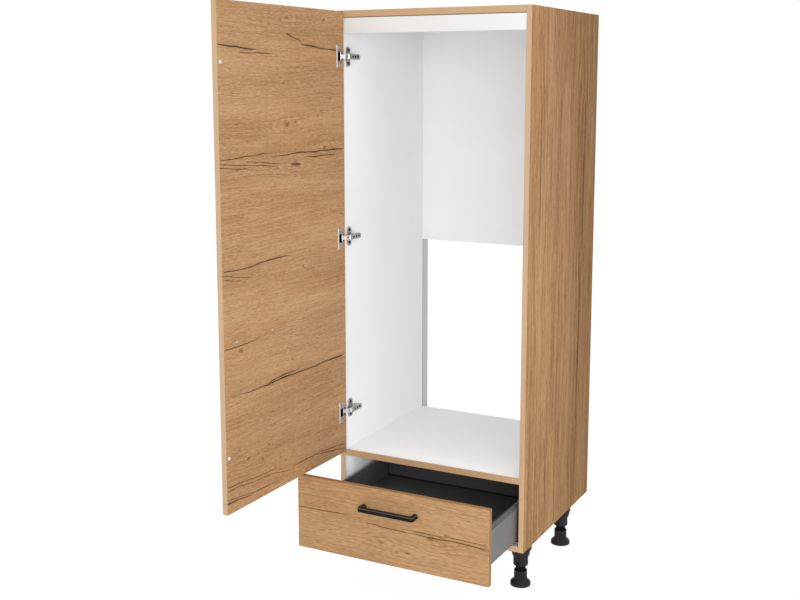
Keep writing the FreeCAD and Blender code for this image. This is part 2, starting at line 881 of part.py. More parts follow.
def foot_sleeve(centre):
    """The leg of a foot: a spigot in the socket, a thick sleeve and a stem below it."""
    leg = turned([(0, stem_end), (stem_radius, stem_end), (stem_radius, sleeve_bottom),
                  (sleeve_radius, sleeve_bottom + sleeve_chamfer), (sleeve_radius, socket_low),
                  (spigot_radius, socket_low), (spigot_radius, socket_low + spigot_length),
                  (0, socket_low + spigot_length)], centre)
    axis = Vector(centre.x, centre.y, sleeve_hole_height)
    holes = [rod(sleeve_hole, sleeve_hole_depth, axis - way * sleeve_radius, way)
             for way in (BACK, -BACK, RIGHT, -RIGHT)]
    return leg.cut(holes)


def foot_adjuster(centre):
    """The screw-on foot: a grooved barrel with an open mouth over the stem, and a wide sloping base."""
    bore = stem_radius + stem_play
    mouth_floor = barrel_height - barrel_mouth_depth
    grip_low = foot_base_height + foot_flare_height
    foot = turned([(0, 0), (foot_base_radius, 0), (foot_base_radius, foot_base_height),
                   (barrel_radius, grip_low), (barrel_radius, barrel_height),
                   (barrel_mouth_radius, barrel_height), (barrel_mouth_radius, mouth_floor),
                   (bore, mouth_floor), (bore, barrel_floor), (0, barrel_floor)], centre)
    rim = [e for e in foot.Edges if e.Curve.TypeId == "Part::GeomCircle"
           and e.Curve.Radius > foot_base_radius - 0.01 and e.CenterOfMass.z > foot_base_height - 0.01]
    foot = foot.makeFillet(foot_base_round, rim)
    grip_start = centre + Vector(barrel_radius + grip_radius / 2, 0, grip_low)
    grip = rod(grip_radius, mouth_floor - grip_low, grip_start, UP)
    return foot.cut([turned_about(grip, centre, 360 * step / grip_count) for step in range(grip_count)])


def write(name, shape):
    """Moves a finished piece into the part's frame and writes its file."""
    solid = shape if isinstance(shape, Part.Shape) else Part.makeCompound(shape)
    solid = solid.copy()
    solid.translate(frame_shift)
    solid.exportStep(f"parts/{name}.step")


# The outline at rest: the door handle reaches furthest left, the door's free edge furthest forward
handle_box = opened(handle(door_handle_middle, door_handle_height)).BoundBox
door_box = opened(front_panel(door_low, door_top)).BoundBox
left_reach = min(handle_box.XMin, -half_width)
front_reach = min(door_box.YMin, front_face - drawer_pull - handle_projection)
frame_shift = Vector(-(left_reach + half_width) / 2, -(front_reach + unit_depth) / 2, 0)

os.makedirs("parts", exist_ok=True)

right_side = side_panel()
left_holes = euro_holes([(place, -RIGHT) for place in hinge_screw_places()], euro_screw_depth + hole_end_play)
write("right_side_panel", right_side)
write("left_side_panel", mirrored(right_side).cut(left_holes))
write("top_panel", inner_board(top_under, unit_height))
write("fridge_shelf", inner_board(shelf_under, shelf_top))
write("bottom_panel", inner_board(foot_height, bottom_top).cut(foot_pilots()))
write("upper_front_rail", front_rail())
write("upper_back_panel", back_panel())
write("cam_housings", cam_housings())
write("cam_bolts", cam_bolts())
write("wood_dowels", dowels())

for place, height in hinge_places.items():
    write(f"hinge_plate_{place}", hinge_plate(height))
    write(f"hinge_arm_{place}", hinge_arm(height))
    write(f"hinge_link_{place}", swung(hinge_link(height)))
    write(f"hinge_cup_{place}", opened(hinge_cup(height)))
write("hinge_plate_screws", hinge_screws())
write("hinge_arm_pins", arm_pins())
write("hinge_cup_pins", [opened(cup_pin_bar(pin_radius, height)) for height in hinge_places.values()])
write("hinge_cup_screws", [opened(one) for one in cup_screws()])

write("door_panel", opened(door_panel()))
write("door_handle", opened(handle(door_handle_middle, door_handle_height)))
write("door_handle_screws", [opened(one) for one in handle_screws(door_handle_middle, door_handle_height)])
write("door_bumpers", [opened(one) for one in door_bumpers()])

write("drawer_front", pulled(drawer_front()))
write("drawer_handle", pulled(handle(0, drawer_handle_height)))
write("drawer_handle_screws", [pulled(one) for one in handle_screws(0, drawer_handle_height)])
write("drawer_base", pulled(box_base()))
write("drawer_back", pulled(box_rear()))
write("drawer_front_brackets", [pulled(one) for one in drawer_brackets()])
write("drawer_bracket_screws", [pulled(one) for one in bracket_screws()])
for side, placed in (("right", lambda shape: shape), ("left", mirrored)):
    write(f"drawer_side_{side}", pulled(placed(box_side())))
    write(f"runner_drawer_rail_{side}", pulled(placed(drawer_rail())))
    write(f"runner_middle_rail_{side}", pulled(placed(middle_rail()), 0.5))
    write(f"runner_cabinet_rail_{side}", placed(cabinet_rail()))
write("runner_screws", runner_screws())

for name, across, centre in foot_places():
    write(f"foot_plate_{name}", foot_plate(across, centre))
    write(f"foot_sleeve_{name}", foot_sleeve(centre))
    write(f"foot_adjuster_{name}", foot_adjuster(centre))
write("foot_plate_screws", foot_screws())

reported = {"arm pin": arm_pin, "cup pin, door open": cup_pin_open, "frame shift": Vector(0, 0, 0)}
for label, point in reported.items():
    moved = point + frame_shift
    print(f"{label}: {moved.x:.3f}, {moved.y:.3f}")
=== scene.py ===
# %% [markdown]
# # A tall fridge housing unit
# The unit is a carcass of oak-decor boards, white inside, on four screw feet. A door hangs on three concealed
# hinges at its left, and a drawer with steel sides runs under the niche. The boards and fittings come from the
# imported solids; here they get their finishes, and the small fittings get the detail that the solids leave plain.

# %% Load the frame
import json
import math

import bmesh
import bpy
from mathutils import Matrix, Vector


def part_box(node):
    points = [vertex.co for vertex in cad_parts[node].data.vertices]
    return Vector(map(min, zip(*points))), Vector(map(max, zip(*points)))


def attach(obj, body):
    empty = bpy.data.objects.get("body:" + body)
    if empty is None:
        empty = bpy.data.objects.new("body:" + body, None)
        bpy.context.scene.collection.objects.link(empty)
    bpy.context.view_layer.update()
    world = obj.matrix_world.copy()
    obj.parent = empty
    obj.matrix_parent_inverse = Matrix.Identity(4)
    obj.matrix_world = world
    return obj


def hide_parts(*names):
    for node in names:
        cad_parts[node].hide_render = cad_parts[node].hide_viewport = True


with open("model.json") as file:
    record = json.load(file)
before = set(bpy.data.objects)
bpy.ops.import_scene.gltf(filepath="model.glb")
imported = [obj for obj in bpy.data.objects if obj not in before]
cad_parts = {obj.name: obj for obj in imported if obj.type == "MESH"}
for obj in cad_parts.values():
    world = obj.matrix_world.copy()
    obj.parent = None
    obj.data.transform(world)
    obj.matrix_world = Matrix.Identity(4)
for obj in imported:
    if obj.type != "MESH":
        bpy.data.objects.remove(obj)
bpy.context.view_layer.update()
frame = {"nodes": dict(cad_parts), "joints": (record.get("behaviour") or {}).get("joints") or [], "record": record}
nodes = frame["nodes"]

# %% [markdown]
# ## The camera
# The photograph was taken from the right of the unit and a little above its middle. A position, a heading and a
# lens are fitted to the corners of the carcass. The photograph keeps upright edges upright, which takes lens shift.
# A fifth of that shift and a downward tilt come close, and keep the whole unit in the picture from other sides too.

# %% Place the camera
camera_spot = Vector((1.43683, -2.87475, 1.45073))
camera_heading = 0.4828
camera_tilt = 0.1491
camera_lens = 51.386
camera_shift = -0.06
camera = bpy.data.objects.new("camera", bpy.data.cameras.new("camera"))
bpy.context.scene.collection.objects.link(camera)
camera.location = camera_spot
camera.rotation_euler = (math.pi / 2 - camera_tilt, 0, camera_heading)
camera.data.lens = camera_lens
camera.data.sensor_width = 36
camera.data.shift_y = camera_shift
bpy.context.scene.camera = camera
print("camera:", tuple(round(c, 3) for c in camera_spot), "lens", camera_lens)

# %% [markdown]
# ## Light, floor and backdrop
# Furniture of this kind is photographed in a white studio, where light comes from everywhere. A plain white world
# gives that. It is full white where the camera sees it, straight or in a mirror, and dimmer as a light, so that
# white boards keep their shading. The Light Path node tells the two kinds of ray apart.

# %% Set the world
scene = bpy.context.scene
scene.view_settings.view_transform = "Standard"
world = bpy.data.worlds.new("studio")
scene.world = world
world.use_nodes = True
sky = world.node_tree


def background_rays(tree):
    """1 for rays that see the backdrop, straight, in a mirror or through glass, and 0 for those that only light."""
    path = tree.nodes.new("ShaderNodeLightPath")
    found = path.outputs["Is Camera Ray"]
    for kind in ("Is Glossy Ray", "Is Transmission Ray"):
        either = tree.nodes.new("ShaderNodeMath")
        either.operation = "MAXIMUM"
        tree.links.new(found, either.inputs[0])
        tree.links.new(path.outputs[kind], either.inputs[1])
        found = either.outputs[0]
    return found


light_strength = 0.74
seen_strength = 1.0
strength = sky.nodes.new("ShaderNodeMapRange")
strength.inputs["To Min"].default_value = light_strength
strength.inputs["To Max"].default_value = seen_strength
sky.links.new(background_rays(sky), strength.inputs["Value"])
sky.nodes["Background"].inputs["Color"].default_value = (1, 1, 1, 1)
sky.links.new(strength.outputs["Result"], sky.nodes["Background"].inputs["Strength"])
print("world:", light_strength, "as a light,", seen_strength, "to the camera")

# %% [markdown]
# A broad soft lamp stands in front of the unit and to its right, which makes the front a little lighter than the
# right side. A narrow weak one beside the right side lights its front part more than its rear. Four faint lamps lie
# in the openings of the niche and the drawer bay and shine into them, so that they are as light as the boards round
# them. One strong lamp would do it too, but it would bleach the white boards near it.


# %% Hang the lamps
def soft_lamp(name, spot, aim, width, depth, watts):
    """An oblong lamp that faces a point."""
    lamp = bpy.data.lights.new(name, "AREA")
    lamp.shape = "RECTANGLE"
    lamp.size = width
    lamp.size_y = depth
    lamp.energy = watts
    holder = bpy.data.objects.new(name, lamp)
    scene.collection.objects.link(holder)
    holder.location = spot
    holder.rotation_euler = (Vector(aim) - Vector(spot)).to_track_quat("-Z", "Y").to_euler()


soft_lamp("front_lamp", (1.8, -3.1, 1.45), (0, 0.1, 0.75), width=2.0, depth=1.6, watts=46)
soft_lamp("side_lamp", (0.95, -0.12, 0.85), (0.3, 0.15, 0.85), width=0.3, depth=1.7, watts=1.4)
shelf_low, shelf_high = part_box("fridge_shelf")
rail_low, rail_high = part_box("upper_front_rail")
lamp_gap = 0.01
lamp_from_side = 0.02
niche_wide, bay_wide = 0.52, 0.26
niche_low, niche_high = shelf_high.z + lamp_gap, rail_low.z - lamp_gap
for name, low, high, wide, watts in (("niche_lamp", niche_low, niche_high, niche_wide, 0.67),
                                     ("upper_lamp", niche_high - 0.25, niche_high, niche_wide, 0.04),
                                     ("lower_lamp", niche_low, niche_low + 0.15, niche_wide, 0.08),
                                     ("bay_lamp", shelf_low.z - 0.055, shelf_low.z - 0.005, bay_wide, 0.09)):
    spot = Vector((shelf_low.x + lamp_from_side + wide / 2, shelf_low.y, (low + high) / 2))
    soft_lamp(name, spot, spot + Vector((0, 1, 0)), wide, high - low, watts)
print("lamps:", len(bpy.data.lights))

# %% [markdown]
# The floor is a plain pale plane. Where the camera sees it, it is mostly a glow of plain white, and the rest of it is
# matte, so that the feet still leave a soft shadow.

# %% Lay the floor
floor_reach = 15
floor_white = (0.86, 0.86, 0.86, 1)
glow_share = 0.96
glow_strength = 1.02
floor_shape = bmesh.new()
bmesh.ops.create_grid(floor_shape, x_segments=1, y_segments=1, size=floor_reach)
floor_mesh = bpy.data.meshes.new("floor")
floor_shape.to_mesh(floor_mesh)
floor_shape.free()
floor = bpy.data.objects.new("floor", floor_mesh)
scene.collection.objects.link(floor)
floor_paint = bpy.data.materials.new("floor_paint")
floor_paint.use_nodes = True
floor_tree = floor_paint.node_tree
floor_matte = floor_tree.nodes["Principled BSDF"]
floor_matte.inputs["Base Color"].default_value = floor_white
floor_matte.inputs["Roughness"].default_value = 0.9
floor_glow = floor_tree.nodes.new("ShaderNodeEmission")
floor_glow.inputs["Strength"].default_value = glow_strength
floor_mix = floor_tree.nodes.new("ShaderNodeMixShader")
floor_share = floor_tree.nodes.new("ShaderNodeMath")
floor_share.operation = "MULTIPLY"
floor_share.inputs[1].default_value = glow_share
floor_tree.links.new(background_rays(floor_tree), floor_share.inputs[0])
floor_tree.links.new(floor_share.outputs[0], floor_mix.inputs["Fac"])
floor_tree.links.new(floor_matte.outputs[0], floor_mix.inputs[1])
floor_tree.links.new(floor_glow.outputs[0], floor_mix.inputs[2])
floor_tree.links.new(floor_mix.outputs[0], floor_tree.nodes["Material Output"].inputs["Surface"])
floor_mesh.materials.append(floor_paint)
print("floor:", 2 * floor_reach, "m wide")

# %% [markdown]
# ## A helper for finishes
# Every finish is a small graph of nodes. The helper below adds one node at a time and hands back its output, so a
# finish reads as a list of steps. All patterns start from Object coordinates, in metres, so they stay on the board.
# Wiring each graph by hand in the editor would give the same, but a list of steps can be read and reused.


# %% Define the helper
class Finish:
    """One material, wired up a node at a time."""

    def __init__(self, name):
        self.material = bpy.data.materials.new(name)
        self.material.use_nodes = True
        self.tree = self.material.node_tree
        self.shader = self.tree.nodes["Principled BSDF"]
        self.place = self.node("ShaderNodeTexCoord").outputs["Object"]

    def node(self, kind, **settings):
        """Adds a node."""
        made = self.tree.nodes.new(kind)
        for key, value in settings.items():
            setattr(made, key, value)
        return made

    def wire(self, socket, value):
        """Sets a socket to a plain value, or links an output to it."""
        if isinstance(value, bpy.types.NodeSocket):
            self.tree.links.new(value, socket)
        else:
            socket.default_value = value

    def math(self, operation, first, second=0.0, third=0.0):
        """One step of arithmetic."""
        made = self.node("ShaderNodeMath", operation=operation)
        for socket, value in zip(made.inputs, (first, second, third)):
            self.wire(socket, value)
        return made.outputs[0]

    def fade(self, value, start, end):
        """0 at start, 1 at end, and smooth between them."""
        made = self.node("ShaderNodeMapRange", interpolation_type="SMOOTHSTEP")
        self.wire(made.inputs["Value"], value)
        self.wire(made.inputs["From Min"], start)
        self.wire(made.inputs["From Max"], end)
        return made.outputs["Result"]

    def all_of(self, *masks):
        """The product of some masks: 1 only where each of them is 1."""
        product = masks[0]
        for mask in masks[1:]:
            product = self.math("MULTIPLY", product, mask)
        return product

    def nearest(self, place, points):
        """How far a place is from the nearest of some points, up to a metre."""
        least = 1.0
        for point in points:
            apart = self.node("ShaderNodeVectorMath", operation="DISTANCE")
            self.wire(apart.inputs[0], place)
            self.wire(apart.inputs[1], point)
            least = self.math("MINIMUM", least, apart.outputs["Value"])
        return least

    def spread(self, place, x, y, z):
        """Scales a place along each axis."""
        made = self.node("ShaderNodeVectorMath", operation="MULTIPLY")
        self.wire(made.inputs[0], place)
        self.wire(made.inputs[1], (x, y, z))
        return made.outputs[0]

    def noise(self, place, detail=2.0, roughness=0.5):
        """Cloudy noise from 0 to 1, about one blob per unit of place."""
        made = self.node("ShaderNodeTexNoise")
        self.wire(made.inputs["Vector"], place)
        self.wire(made.inputs["Scale"], 1.0)
        self.wire(made.inputs["Detail"], detail)
        self.wire(made.inputs["Roughness"], roughness)
        return made.outputs[0]

    def split(self, place):
        """The three parts of a place."""
        made = self.node("ShaderNodeSeparateXYZ")
        self.wire(made.inputs[0], place)
        return made.outputs[0], made.outputs[1], made.outputs[2]

    def join(self, x, y, z):
        """A place from three parts."""
        made = self.node("ShaderNodeCombineXYZ")
        for socket, value in zip(made.inputs, (x, y, z)):
            self.wire(socket, value)
        return made.outputs[0]

    def ramp(self, value, *stops):
        """Turns a value into a colour between stops."""
        made = self.node("ShaderNodeValToRGB")
        self.wire(made.inputs[0], value)
        points = made.color_ramp.elements
        while len(points) < len(stops):
            points.new(0.5)
        for point, (position, colour) in zip(points, stops):
            point.position = position
            point.color = (*colour, 1)
        return made.outputs[0]

    def mix(self, share, first, second, mode="MIX"):
        """Lays the second colour over the first."""
        made = self.node("ShaderNodeMix", data_type="RGBA", blend_type=mode)
        self.wire(made.inputs[0], share)
        for socket, value in ((made.inputs[6], first), (made.inputs[7], second)):
            self.wire(socket, value if isinstance(value, bpy.types.NodeSocket) else (*value, 1))
        return made.outputs[2]

    def bump(self, height, depth):
        """Raises the surface by height times depth, in metres."""
        made = self.node("ShaderNodeBump")
        self.wire(made.inputs["Height"], height)
        self.wire(made.inputs["Distance"], depth)
        self.wire(self.shader.inputs["Normal"], made.outputs[0])

    def set(self, **values):
        """Sets the shader's own sockets, with underscores for spaces."""
        for key, value in values.items():
            self.wire(self.shader.inputs[key.replace("_", " ")], value)

    def base(self, colour):
        """Links the base colour, and keeps it so that more can be laid over it."""
        self.colour = colour
        self.wire(self.shader.inputs["Base Color"], colour)


def dress(finish, *names):
    """Gives a finish to the nodes whose names start with any of these."""
    dressed = [n for n in nodes if n.startswith(names)]
    for name in dressed:
        nodes[name].data.materials.clear()
        nodes[name].data.materials.append(finish.material)
    print(finish.material.name, "on", len(dressed), "nodes")


print("nodes to dress:", len(nodes))

# %% [markdown]
# ## Oak decor
# The fronts carry a printed and embossed oak with the grain lying across, a few dark cracks and small knots; the
# sides carry the same oak with the grain upright. A photographed texture would be the usual way, but noise stretched
# along the grain works at any distance and on any board.
#
# Knots come first, because they push the grain aside. A knot is a round place with rings about it and a dark spot in
# its middle, all made ragged by a little noise.

# %% Bend the grain round knots
knot_push = 0.6
ring_rate, ring_ragged = 17, 0.3
spot_edge, spot_core, spot_ragged = 0.26, 0.10, 0.16


def round_knots(oak, along, across, knots):
    """Bends the grain round each knot, and gives the rings and the dark spots that knots leave in the wood.

    A knot is its place along and across the grain, and how far it reaches both ways.
    """
    bent, rings, spots = across, 0.0, 0.0
    ragged = oak.noise(oak.spread(oak.join(along, across, 0.0), 60, 140, 0), 2)
    for spot_along, spot_across, reach_along, reach_across in knots:
        off_along = oak.math("DIVIDE", oak.math("SUBTRACT", along, spot_along), reach_along)
        off_across = oak.math("DIVIDE", oak.math("SUBTRACT", across, spot_across), reach_across)
        squared = oak.math("ADD", oak.math("POWER", off_along, 2), oak.math("POWER", off_across, 2))
        near = oak.math("EXPONENT", oak.math("MULTIPLY", squared, -1))
        push = oak.math("MULTIPLY", oak.math("MULTIPLY", off_across, near), -knot_push * reach_across)
        bent = oak.math("ADD", bent, push)
        apart = oak.math("SQRT", squared)
        uneven = oak.math("MULTIPLY_ADD", ragged, ring_ragged, apart)
        wave = oak.math("SINE", oak.math("MULTIPLY", uneven, ring_rate))
        rings = oak.math("MULTIPLY_ADD", wave, near, rings)
        spot = oak.fade(oak.math("MULTIPLY_ADD", ragged, spot_ragged, apart), spot_edge, spot_core)
        spots = oak.math("MAXIMUM", spots, spot)
    return bent, rings, spots


print("knots push the grain aside by up to", knot_push, "of their reach")

# %% [markdown]
# Cracks are thin dark lines that wander, swell and taper, each with a brown halo where the wood beside it has
# darkened. They could be painted; a straight line whose distance is bent by noise needs only its two ends. Growth
# lines are fainter: where the rings of the tree meet the surface, a slow field is cut at even steps.

# %% Draw cracks and growth lines
taper_in, taper_out = 0.06, 0.75
crack_core = 0.35
halo_reach = 5
ring_wobble = 6.0


def crack_marks(oak, along, across, cracks, wander, swell):
    """Thin dark lines and their halos: each from a point to a point, along then across, with its half width."""
    marks, halo = 0.0, 0.0
    strayed = oak.math("ADD", across, wander)
    for start, start_across, end, end_across, half in cracks:
        share = oak.math("DIVIDE", oak.math("SUBTRACT", along, start), end - start)
        line = oak.math("MULTIPLY_ADD", share, end_across - start_across, start_across)
        away = oak.math("ABSOLUTE", oak.math("SUBTRACT", strayed, line))
        ends = oak.all_of(oak.fade(share, 0.0, taper_in), oak.fade(share, 1.0, taper_out))
        width = oak.all_of(swell, half, oak.math("ADD", ends, 0.02))
        whole = oak.fade(ends, 0, 0.1)
        mark = oak.math("MULTIPLY", oak.fade(away, width, oak.math("MULTIPLY", width, crack_core)), whole)
        marks = oak.math("MAXIMUM", marks, mark)
        glow = oak.math("MULTIPLY", oak.fade(away, oak.math("MULTIPLY", width, halo_reach), 0.0), whole)
        halo = oak.math("MAXIMUM", halo, glow)
    return marks, halo


def growth_lines(oak, bent, across, spacing):
    """Thin lines where the growth rings meet the surface: level lines of a slow field, seen in patches."""
    slow = oak.noise(oak.spread(bent, 2.6, 8, 8), 2)
    field = oak.math("MULTIPLY_ADD", slow, ring_wobble, oak.math("DIVIDE", across, spacing))
    wave = oak.math("MULTIPLY_ADD", oak.math("SINE", oak.math("MULTIPLY", field, 2 * math.pi)), 0.5, 0.5)
    patch = oak.fade(oak.noise(oak.spread(bent, 2.1, 5.3, 5.3), 1), 0.47, 0.64)
    return oak.math("MULTIPLY", oak.math("POWER", wave, 4), patch)


print("cracks have a halo of", halo_reach, "half widths")

# %% [markdown]
# The wood adds up several layers of noise, from broad bands to short dashes and fine pores, and turns the sum into a
# brown. A second slow noise warms it in places, and specks, halos and cracks lie on top. The same sum makes the
# relief, so that light picks out the pores and cracks as it does on the embossed board.

# %% Add up the oak
oak_browns = ((0.30, (0.258, 0.128, 0.050)), (0.42, (0.407, 0.223, 0.100)),
              (0.52, (0.551, 0.330, 0.165)), (0.68, (0.711, 0.460, 0.253)))
warm_cast = (1.03, 0.93, 0.84)
speck_brown = (0.16, 0.075, 0.030)
halo_brown = (0.230, 0.105, 0.040)
crack_black = (0.045, 0.022, 0.010)
crack_stray = 0.020


def oak_colour(oak, along, across, deep, cracks, knots, layers, ring_spacing, shade=(1, 1, 1)):
    """The oak's colour and relief at a place given along the grain, across it and into the board.

    Each layer of grain is its number of blobs a metre along and across, its detail and its share of the tone.
    """
    bent_across, rings, spots = round_knots(oak, along, across, knots)
    bent = oak.join(along, bent_across, deep)
    sway = oak.math("MULTIPLY", oak.noise(oak.spread(bent, 2.0, 4, 4), 2), 0.05)
    quiver = oak.math("MULTIPLY", oak.noise(oak.spread(bent, 14, 24, 24), 1), 0.003)
    swayed = oak.join(along, oak.math("ADD", oak.math("ADD", bent_across, sway), quiver), deep)
    tone = oak.math("MULTIPLY_ADD", rings, 0.02, 0.5 - sum(share for *_, share in layers) / 2)
    for run, rise, detail, share in layers:
        tone = oak.math("MULTIPLY_ADD", oak.noise(oak.spread(swayed, run, rise, rise), detail, 0.6), share, tone)
    lines = growth_lines(oak, bent, bent_across, ring_spacing)
    tone = oak.math("MULTIPLY_ADD", lines, -0.04, tone)
    colour = oak.ramp(tone, *[(at, tuple(a * b for a, b in zip(shade, brown))) for at, brown in oak_browns])
    warmth = oak.fade(oak.noise(oak.spread(swayed, 1.1, 7, 7), 2), 0.35, 0.68)
    colour = oak.mix(oak.math("MULTIPLY", warmth, 0.5), colour, warm_cast, "MULTIPLY")
    specks = oak.fade(oak.noise(oak.spread(swayed, 30, 120, 120), 1), 0.70, 0.80)
    colour = oak.mix(oak.math("MULTIPLY", specks, 0.6), colour, speck_brown)
    wander = oak.math("MULTIPLY", oak.math("SUBTRACT", oak.noise(oak.spread(bent, 7, 4, 0), 4), 0.5), crack_stray)
    swell = oak.math("MULTIPLY_ADD", oak.fade(oak.noise(oak.spread(bent, 14, 9, 0), 2), 0.25, 0.75), 0.7, 0.3)
    marks, halo = crack_marks(oak, along, across, cracks, wander, swell)
    dark = oak.math("MAXIMUM", marks, oak.math("MULTIPLY", spots, 0.6))
    colour = oak.mix(oak.math("MULTIPLY", halo, 0.35), colour, halo_brown)
    colour = oak.mix(oak.math("MULTIPLY", dark, 0.9), colour, crack_black)
    relief = oak.math("SUBTRACT", oak.math("SUBTRACT", tone, oak.math("MULTIPLY", dark, 0.8)),
                      oak.math("MULTIPLY", specks, 0.3))
    return colour, relief


def oak_sheen(oak, relief):
    """A matte, slightly open surface."""
    oak.set(Roughness=0.65, Specular_IOR_Level=0.06)
    oak.bump(relief, 0.0012)


print("oak:", len(oak_browns), "browns")

# %% [markdown]
# The narrow edges of the boards are covered by glued strips, which come in several browns: pale on the door and the
# sides, honey on the top and the shelf, dark on the drawer front. Low down the sides' strips are painted lighter, as
# painted light, and the bottom board's strip has that lighter colour too. The sides are printed darker than the
# fronts, as painted shade. A mask picks what lies between the two faces of a board. Each grain below is a list of
# layers, for the long boards of the sides and for the fronts.

# %% Set the strips and grains
board = 0.016
strip_share = 0.8


def between_faces(oak, from_middle):
    """1 between the two faces of a board, 0 on them, from the distance to the middle of its thickness."""
    return oak.fade(from_middle, board / 2 - 0.0003, board / 2 - 0.0008)


def banded(oak, colour, edge, strip):
    """Covers the narrow edges of a board, where a plain strip of this colour is glued on."""
    return oak.mix(oak.math("MULTIPLY", edge, strip_share), colour, strip)


pale_strip = (0.655, 0.470, 0.310)
# Painted light: a lighter strip for the sides low down; the bottom board's strip uses it too.
low_painted_light_strip = (0.870, 0.590, 0.365)
honey_strip = (0.648, 0.445, 0.258)
shelf_strip = (0.760, 0.505, 0.272)
brown_strip = (0.380, 0.185, 0.075)
door_grain = ((0.8, 9, 3, 0.27), (4, 90, 2, 0.11), (10, 300, 2, 0.25), (60, 540, 1, 0.34), (40, 1300, 1, 0.22))
drawer_grain = ((0.8, 9, 3, 0.27), (3, 70, 2, 0.10), (9, 340, 2, 0.18), (60, 580, 1, 0.28), (40, 1300, 1, 0.22))
side_grain = ((0.6, 6, 2, 0.30), (2.0, 60, 3, 0.38), (9, 120, 2, 0.30), (70, 300, 1, 0.22), (40, 1300, 1, 0.20))
front_rings = 0.011
side_rings = 0.033
door_shade = (0.955, 0.955, 0.955)
# Painted shade: the sides share the fronts' decor, printed darker.
side_painted_shade = (0.850, 0.812, 0.755)
print("grains:", len(door_grain), len(drawer_grain), len(side_grain), "layers")

# %% [markdown]
# ### The fronts
# The door stands open, so its grain is worked out in the door's own directions: a Mapping node turns the place back
# by the door's opening angle. Turning the board itself isn't needed, and the pattern rides along when it swings.

# %% Find the door's own directions
door_angle = math.radians(90.65)
pin_from_edge = 0.010
pin_into_door = 0.004
door_along = Vector((math.cos(door_angle), -math.sin(door_angle), 0))
door_inward = Vector((math.sin(door_angle), math.cos(door_angle), 0))
door_pin = next(Vector(joint["pos_m"]) for joint in frame["joints"] if joint["name"] == "door_swing")
door_corner = door_pin - door_along * pin_from_edge + door_inward * pin_into_door
door_corner.z = 0


def door_place(f):
    """Distance from the hinge edge of the door, distance in front of its inner face, and height."""
    turn_back = f.node("ShaderNodeMapping", vector_type="POINT")
    f.wire(turn_back.inputs["Vector"], f.place)
    f.wire(turn_back.inputs["Rotation"], (0, 0, door_angle))
    f.wire(turn_back.inputs["Location"], -(Matrix.Rotation(door_angle, 4, "Z") @ door_corner))
    return f.split(turn_back.outputs[0])


print("door corner:", tuple(round(part, 4) for part in door_corner))

# %% [markdown]
# The door is the largest face of oak. Its cracks and knots are listed from the hinge edge and the floor; the fine
# grain between them comes by itself.

# %% Finish the door
door_cracks = (
    (0.597, 1.537, 0.420, 1.530, 0.0030),
    (0.510, 1.521, 0.345, 1.522, 0.0012),
    (0.296, 1.574, 0.215, 1.551, 0.0030),
    (0.000, 1.533, 0.245, 1.547, 0.0026),
    (0.000, 1.255, 0.380, 1.253, 0.0026),
    (0.048, 1.241, 0.227, 1.240, 0.0016),
    (0.600, 1.254, 0.368, 1.263, 0.0012),
    (0.600, 1.244, 0.315, 1.225, 0.0010),
    (0.600, 1.235, 0.449, 1.225, 0.0010),
    (0.490, 1.246, 0.327, 1.232, 0.0010),
    (0.281, 1.226, 0.230, 1.221, 0.0034),
    (0.597, 0.972, 0.270, 0.978, 0.0026),
    (0.600, 0.964, 0.459, 0.943, 0.0010),
    (0.597, 0.953, 0.510, 0.941, 0.0010),
    (0.597, 0.773, 0.430, 0.777, 0.0016),
    (0.000, 0.640, 0.580, 0.642, 0.0028),
    (0.405, 0.646, 0.240, 0.652, 0.0018),
    (0.600, 0.367, 0.480, 0.359, 0.0024),
    (0.598, 0.412, 0.339, 0.390, 0.0010),
    (0.598, 0.403, 0.265, 0.371, 0.0010),
    (0.593, 0.375, 0.351, 0.351, 0.0010),
    (0.001, 0.365, 0.315, 0.382, 0.0010),
    (0.001, 0.350, 0.265, 0.383, 0.0010),
)
door_knots = (
    (0.293, 1.615, 0.060, 0.030),
    (0.107, 1.619, 0.045, 0.022),
    (0.297, 1.334, 0.090, 0.045),
    (0.107, 1.263, 0.070, 0.040),
    (0.256, 1.224, 0.110, 0.035),
    (0.524, 0.758, 0.060, 0.050),
    (0.227, 0.940, 0.045, 0.022),
    (0.498, 0.463, 0.050, 0.026),
    (0.436, 0.442, 0.040, 0.022),
    (0.407, 0.473, 0.040, 0.022),
)
door_oak = Finish("door_oak")
from_hinge, inward, height = door_place(door_oak)
oak_tone, oak_relief = oak_colour(door_oak, from_hinge, height, inward, door_cracks, door_knots,
                                  door_grain, front_rings, door_shade)
into = door_oak.math("ABSOLUTE", door_oak.math("ADD", inward, board / 2))
door_oak.base(banded(door_oak, oak_tone, between_faces(door_oak, into), pale_strip))
oak_sheen(door_oak, oak_relief)
dress(door_oak, "door_panel")

# %% [markdown]
# The drawer front is square to the unit, so its grain follows the plain axes. Its strip is the darkest one.

# %% Finish the drawer front
drawer_cracks = (
    (-0.290, 0.238, -0.110, 0.243, 0.0014),
    (-0.060, 0.228, 0.090, 0.224, 0.0015),
    (0.310, 0.222, 0.070, 0.226, 0.0018),
    (0.312, 0.233, 0.050, 0.233, 0.0011),
)
drawer_knots = (
    (-0.010, 0.180, 0.070, 0.035),
    (0.187, 0.238, 0.045, 0.022),
    (0.070, 0.165, 0.060, 0.030),
    (0.140, 0.220, 0.090, 0.040),
)
drawer_oak = Finish("drawer_oak")
sideways, inward, height = drawer_oak.split(drawer_oak.place)
oak_tone, oak_relief = oak_colour(drawer_oak, sideways, height, inward, drawer_cracks, drawer_knots,
                                  drawer_grain, front_rings)
front_low, front_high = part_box("drawer_front")
into = drawer_oak.math("ABSOLUTE", drawer_oak.math("SUBTRACT", inward, (front_low.y + front_high.y) / 2))
drawer_oak.base(banded(drawer_oak, oak_tone, between_faces(drawer_oak, into), brown_strip))
oak_sheen(drawer_oak, oak_relief)
dress(drawer_oak, "drawer_front")
